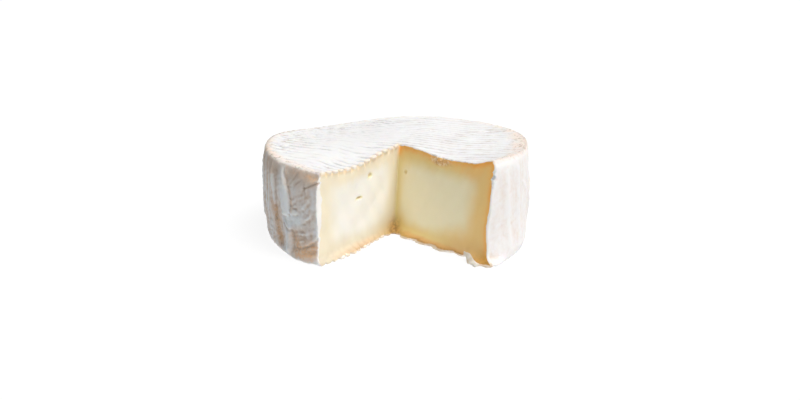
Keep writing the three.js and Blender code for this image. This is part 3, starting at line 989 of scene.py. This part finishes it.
def times(tree, first, second):
    return maths(tree, "MULTIPLY", first, second)


def spread(tree, value, low, high, to_low=0.0, to_high=1.0):
    """The value's smooth share of the way from low to high, as a number between two others."""
    values = dict(enumerate((value, low, high, to_low, to_high)))
    return add_node(tree, "MapRange", values, interpolation_type="SMOOTHSTEP").outputs[0]


def blend(tree, share, first, second):
    return add_node(tree, "Mix", {0: share, 6: first, 7: second}, data_type="RGBA").outputs[2]


def tinted(tree, colour, name, strength, shade):
    """The colour, blended into another shade where an attribute is high."""
    return blend(tree, times(tree, attribute(tree, name), strength), colour, shade)


def mottle(tree, size, detail=3.0, rough=0.5, stretch=(1, 1, 1)):
    """Noise from about 0.3 to 0.7, with features of a size in millimetres.

    A stretch of less than 1 along an axis makes the features longer that way.
    """
    place = add_node(tree, "TexCoord", {}).outputs["Object"]
    place = add_node(tree, "Mapping", {"Vector": place, "Scale": stretch}).outputs[0]
    grain = {"Vector": place, "Scale": 1000 / size, "Detail": detail, "Roughness": rough}
    return add_node(tree, "TexNoise", grain).outputs["Fac"]


def number(tree, share, first, second):
    """Between two plain numbers, by a share."""
    return maths(tree, "MULTIPLY_ADD", share, second - first, first)


def side_colour(tree, hollow):
    """White mould with faint rose, greyer on the left side with painted shade, painted shade under the
    rim, and worn brown in places.
    """
    smooth, by_corner = attribute(tree, "smooth"), attribute(tree, "by_corner")
    patchy = spread(tree, mottle(tree, 15), 0.38, 0.62)
    streaky = spread(tree, mottle(tree, 3.2, 3, 0.6, (1, 1, 0.22)), 0.36, 0.64)
    fine = spread(tree, mottle(tree, 1.8, 4, 0.6), 0.35, 0.65)
    bare = maths(tree, "MULTIPLY_ADD", patchy, 0.35, times(tree, streaky, 0.42))
    bare = maths(tree, "ADD", bare, times(tree, fine, 0.28))
    bare = times(tree, bare, spread(tree, hollow, -0.8, 0.5))
    clean = blend(tree, times(tree, bare, 0.75), *WHITE_MOULD)
    cool = spread(tree, mottle(tree, 5, 3, 0.6, (1, 1, 0.5)), 0.4, 0.6)
    dull_and_shaded = blend(tree, times(tree, bare, 1.3), blend(tree, cool, *SHADED_GREY_MOULD), SHADED_THIN_MOULD)
    dull_and_shaded = blend(tree, times(tree, smooth, 0.95), dull_and_shaded, BLUISH_MOULD)
    # brown with painted shade under the rim, less on the smooth mould
    dull_and_shaded = tinted(tree, dull_and_shaded, "brown_shade_under_rim", number(tree, smooth, 0.97, 0.48), BROWN_SHADE_UNDER_RIM)
    # the left side's darker copy of the mould: painted shade
    colour = blend(tree, attribute(tree, "dusky_and_shaded"), clean, dull_and_shaded)
    specks = spread(tree, mottle(tree, 1.7, 3, 0.6, (1, 1, 0.5)), 0.54, 0.66, 0, 0.8)
    specks = times(tree, specks, number(tree, by_corner, 1, 0.35))
    brown = blend(tree, specks, blend(tree, by_corner, *WORN_RIND), DARK_SPECKS)
    # brown rind where the mould is worn off, and painted shade in one crease
    worn_and_crease_shade = times(tree, attribute(tree, "worn_and_crease_shade"), maths(tree, "MULTIPLY_ADD", fine, 0.6, 0.5))
    return blend(tree, maths(tree, "MINIMUM", worn_and_crease_shade, 0.95), colour, brown)


def face_colour(tree):
    """The ridged top and base: white mould, greyer in the grooves with partly painted shade, and brown by
    the rim.
    """
    right_half = attribute(tree, "right_half")
    white, shade = blend(tree, right_half, *TOP_MOULD), blend(tree, right_half, *TOP_GROOVES_AND_SHADE)
    patchy = spread(tree, mottle(tree, 22), 0.35, 0.65)
    broken = spread(tree, mottle(tree, 5, 3, 0.6), 0.42, 0.6)
    lined = spread(tree, attribute(tree, "lined"), 0.1, 1.1)
    # greyer in the grooves and pressed lines, partly painted shade
    colour = blend(tree, times(tree, lined, number(tree, patchy, 0.45, 0.9)), white, shade)
    marked = times(tree, times(tree, lined, broken), 1.7)
    return tinted(tree, colour, "stroke", marked, TOP_STROKES)


def rind_colour(tree):
    """The rind: its side and its faces, painted shade in the creases, the edged rim, and where it is cut.
    """
    hollow, flank = attribute(tree, "hollow"), attribute(tree, "flank")
    colour = blend(tree, flank, face_colour(tree), side_colour(tree, hollow))
    crease = blend(tree, attribute(tree, "dusky_and_shaded"), *CREASE_SHADE)
    # painted shade in the side's creases and hollows
    shade_in_hollows = times(tree, spread(tree, hollow, 0.15, 1), flank)
    colour = blend(tree, times(tree, shade_in_hollows, 0.7), colour, crease)
    specks = spread(tree, mottle(tree, 2.2, 3, 0.6), 0.52, 0.64)
    edge = blend(tree, specks, blend(tree, attribute(tree, "rim_warm"), *RIM_EDGE), RIM_SPECKS)
    patchy = spread(tree, mottle(tree, 5), 0.3, 0.6, 0.45, 1)
    colour = tinted(tree, colour, "rim", patchy, edge)
    colour = tinted(tree, colour, "rim_line", 0.95, RIM_LINE)
    return blend(tree, attribute(tree, "sliced"), colour, sliced_rind_colour(tree))


def sliced_rind_colour(tree):
    """The cut rind: white, rosy by the top and the base, pitted in the grooves, and grey with painted
    shade where torn.
    """
    shallow = maths(tree, "MINIMUM", attribute(tree, "top_depth"), attribute(tree, "base_depth"))
    outermost = spread(tree, shallow, 1.2, 3, 1, 0)
    rosy = spread(tree, mottle(tree, 3, 2), 0.35, 0.65, 0.35, 1)
    colour = blend(tree, times(tree, outermost, rosy), *CUT_RIND)
    colour = tinted(tree, colour, "curled", 0.95, blend(tree, rosy, *CURLED_RIND))
    pits = times(tree, outermost, spread(tree, attribute(tree, "pitted"), 0.3, 0.8))
    colour = blend(tree, times(tree, pits, 0.75), colour, RIND_PITS)
    streaks = spread(tree, mottle(tree, 1.6, 2, 0.5, (0.5, 0.5, 1.6)), 0.52, 0.64)
    return tinted(tree, colour, "torn_and_shaded", 0.85, blend(tree, streaks, *TORN_RIND_AND_SHADE))


def layered(tree, colour, layers):
    """The colour with layers of other shades, each at a depth under one of the rinds."""
    for part, start, end, strength, shade in layers:
        layer = spread(tree, attribute(tree, part + "_depth"), start, end, 1, 0)
        colour = blend(tree, times(tree, layer, strength), colour, shade)
    return colour


def core_colour(tree, golden, outer):
    """Chalky in the middle and creamy towards the rind."""
    wavy = spread(tree, mottle(tree, 16, 2), 0.25, 0.75, -0.1, 0.1)
    chalky = spread(tree, maths(tree, "ADD", attribute(tree, "core"), wavy), 0.5, 1.35)
    # the left and right cuts' paste, partly painted light and shade
    cream = blend(tree, golden, LIT_LEFT_CREAM, blend(tree, outer, *SHADED_RIGHT_CREAM))
    return blend(tree, chalky, cream, blend(tree, golden, *LIT_AND_SHADED_CHALK))


def under_rind_colour(tree, colour, golden, outer, spots):
    """The paste's layers just under the rind: tan, then orange or peach, and browned by the base."""
    patchy = spread(tree, mottle(tree, 4, 3, 0.6), 0.3, 0.7, 0.6, 1.1)
    left = times(tree, times(tree, maths(tree, "SUBTRACT", 1, golden), patchy), 0.75)
    right = times(tree, golden, patchy)
    browned = attribute(tree, "browned")
    colour = layered(tree, colour, [  # under which rind, from and to which depth, strength, shade
        ("base", 2, 13, times(tree, attribute(tree, "low_left"), 0.85), DULL_CREAM),
        ("base", 1.5, 6.5, left, DULL_TAN),
        ("top", 1, number(tree, outer, 6.5, 11), times(tree, right, 0.95), TAN),
        ("base", 1, 3.6, times(tree, right, 0.5), TAN),
        ("side", 1, 6.5, times(tree, right, 0.9), TAN),
    ])
    colour = tinted(tree, colour, "outer_low", 0.85, DEEP_TAN)
    gold, brown = blend(tree, golden, *BASE_GOLD), blend(tree, golden, *BASE_BROWN)
    return layered(tree, colour, [
        ("top", 0.8, 3.8, times(tree, right, number(tree, outer, 0.55, 1)), ORANGE),
        ("side", 0.8, 3.6, right, ORANGE),
        ("top", 1, 3.6, left, PEACH),
        ("base", 1.6, number(tree, golden, 5.2, 4), browned, gold),
        ("base", 1.2, number(tree, golden, 3.2, 2.2), times(tree, browned, spots), brown),
    ])


def paste_colour(tree):
    """The paste with its layers, and the places by the tip, where shade is painted in the corner, the toe,
    the crumbs and the eyes.
    """
    golden, outer = attribute(tree, "golden"), attribute(tree, "outer")
    spots = spread(tree, mottle(tree, 1.9, 3, 0.6), 0.36, 0.62, 0.45, 1)
    colour = core_colour(tree, golden, outer)
    colour = under_rind_colour(tree, colour, golden, outer, spots)
    # painted shade in the corner by the tip
    colour = tinted(tree, colour, "painted_apex_shade", 0.85, PAINTED_APEX_SHADE)
    colour = tinted(tree, colour, "apex_low", 0.8, blend(tree, golden, *APEX_NEAR_FOOT))
    # the strip along the corner where the cuts meet, partly painted shade
    high_apex, low_apex = blend(tree, golden, *HIGH_APEX_AND_SHADE), blend(tree, golden, *LOW_APEX_AND_SHADE)
    apex = blend(tree, spread(tree, attribute(tree, "top_depth"), 2, 10), high_apex, low_apex)
    colour = tinted(tree, colour, "apex", 0.85, apex)
    colour = tinted(tree, colour, "toe", 0.95, blend(tree, spots, *BROWN_TOE))
    crumbs = blend(tree, spread(tree, mottle(tree, 1.7, 2, 0.5), 0.42, 0.58), *CRUMBS)
    colour = blend(tree, spread(tree, attribute(tree, "crumbled"), 0.2, 0.7, 0, 0.95), colour, crumbs)
    return tinted(tree, colour, "eye", 0.7, EYE_WALL)


def depth_in_rind(tree):
    """0 on the surface of the rind, 1 on its underside."""
    uneven = spread(tree, mottle(tree, 5, 2), 0.25, 0.75, 0.75, 1.25)
    top, base, side = (
        maths(tree, "DIVIDE", attribute(tree, part + "_depth"), attribute(tree, part + "_rind"))
        for part in ("top", "base", "side")
    )
    least = maths(tree, "MINIMUM", maths(tree, "MINIMUM", top, base), side)
    return times(tree, least, uneven)


def fuzz_or_crumb(tree, inside):
    """A fine relief: the mould's fuzz on the rind, and a coarser crumb on the paste."""
    fuzz, crumb = mottle(tree, 0.7, 4, 0.6), mottle(tree, 1.6, 5, 0.65)
    relief = add_node(tree, "Mix", {0: inside, 2: fuzz, 3: crumb}).outputs[0]
    bump = add_node(tree, "Bump", {"Strength": 0.35, "Distance": 0.0004, "Height": relief})
    return bump.outputs["Normal"]


def make_cheese_material():
    material, tree, shader = new_material("rind_and_paste")
    inside = spread(tree, depth_in_rind(tree), 0.85, 1.1)
    colour = blend(tree, inside, rind_colour(tree), paste_colour(tree))
    crust = blend(tree, spread(tree, mottle(tree, 1.9, 3.0, 0.6), 0.4, 0.6), *CRUST)
    set_inputs(tree, shader, {
        "Base Color": tinted(tree, colour, "apex_foot", 0.85, crust),
        "Roughness": number(tree, inside, 0.9, 0.55),
        "Normal": fuzz_or_crumb(tree, inside),
        "Subsurface Weight": 0.2,
        "Subsurface Radius": (1.0, 0.7, 0.4),
        "Subsurface Scale": 0.003,
        "Specular IOR Level": 0.3,
        "Sheen Weight": 0.12,
    })
    return material


# ---- floor, lights and camera ----


def make_floor():
    bm = bmesh.new()
    bmesh.ops.create_grid(bm, x_segments=1, y_segments=1, size=FLOOR_REACH)
    floor = piece_from(bm, "floor")
    material, tree, shader = new_material("floor")
    set_inputs(tree, shader, {
        "Base Color": (0.15, 0.15, 0.15),
        "Roughness": 0.9,
        "Specular IOR Level": 0.1,
        "Emission Color": (1, 1, 1),
        "Emission Strength": FLOOR_GLOW,
    })
    floor.data.materials.append(material)


def add_sun(name, bearing, elevation, softness, strength):
    light = bpy.data.lights.new(name, "SUN")
    light.angle = math.radians(softness)
    light.energy = strength
    lamp = add_object(name, light)
    across, up = math.radians(bearing), math.radians(elevation)
    towards = Vector((*(heading(across) * math.cos(up)), math.sin(up)))
    lamp.rotation_mode = "QUATERNION"
    lamp.rotation_quaternion = towards.to_track_quat("Z", "Y")


def add_surroundings(brightness):
    world = bpy.data.worlds.new("studio")
    bpy.context.scene.world = world
    world.use_nodes = True
    sky = world.node_tree.nodes["Background"]
    set_inputs(world.node_tree, sky, {"Color": (1, 1, 1), "Strength": brightness})


def add_camera():
    data = bpy.data.cameras.new("camera")
    data.lens = CAMERA_LENS
    data.clip_start = 0.01
    camera = add_object("camera", data)
    camera.location = CAMERA_PLACE
    camera.rotation_mode = "QUATERNION"
    camera.rotation_quaternion = Vector(CAMERA_HEADING).to_track_quat("-Z", "Y")
    bpy.context.scene.camera = camera


cheese = make_cheese()
cheese.data.materials.append(make_cheese_material())
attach(cheese, "root")
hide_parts("cheese_wheel")

make_floor()
for sun in SUNS:
    add_sun(*sun)
add_surroundings(SKY_BRIGHTNESS)
add_camera()
bpy.context.scene.view_settings.view_transform = "Standard"
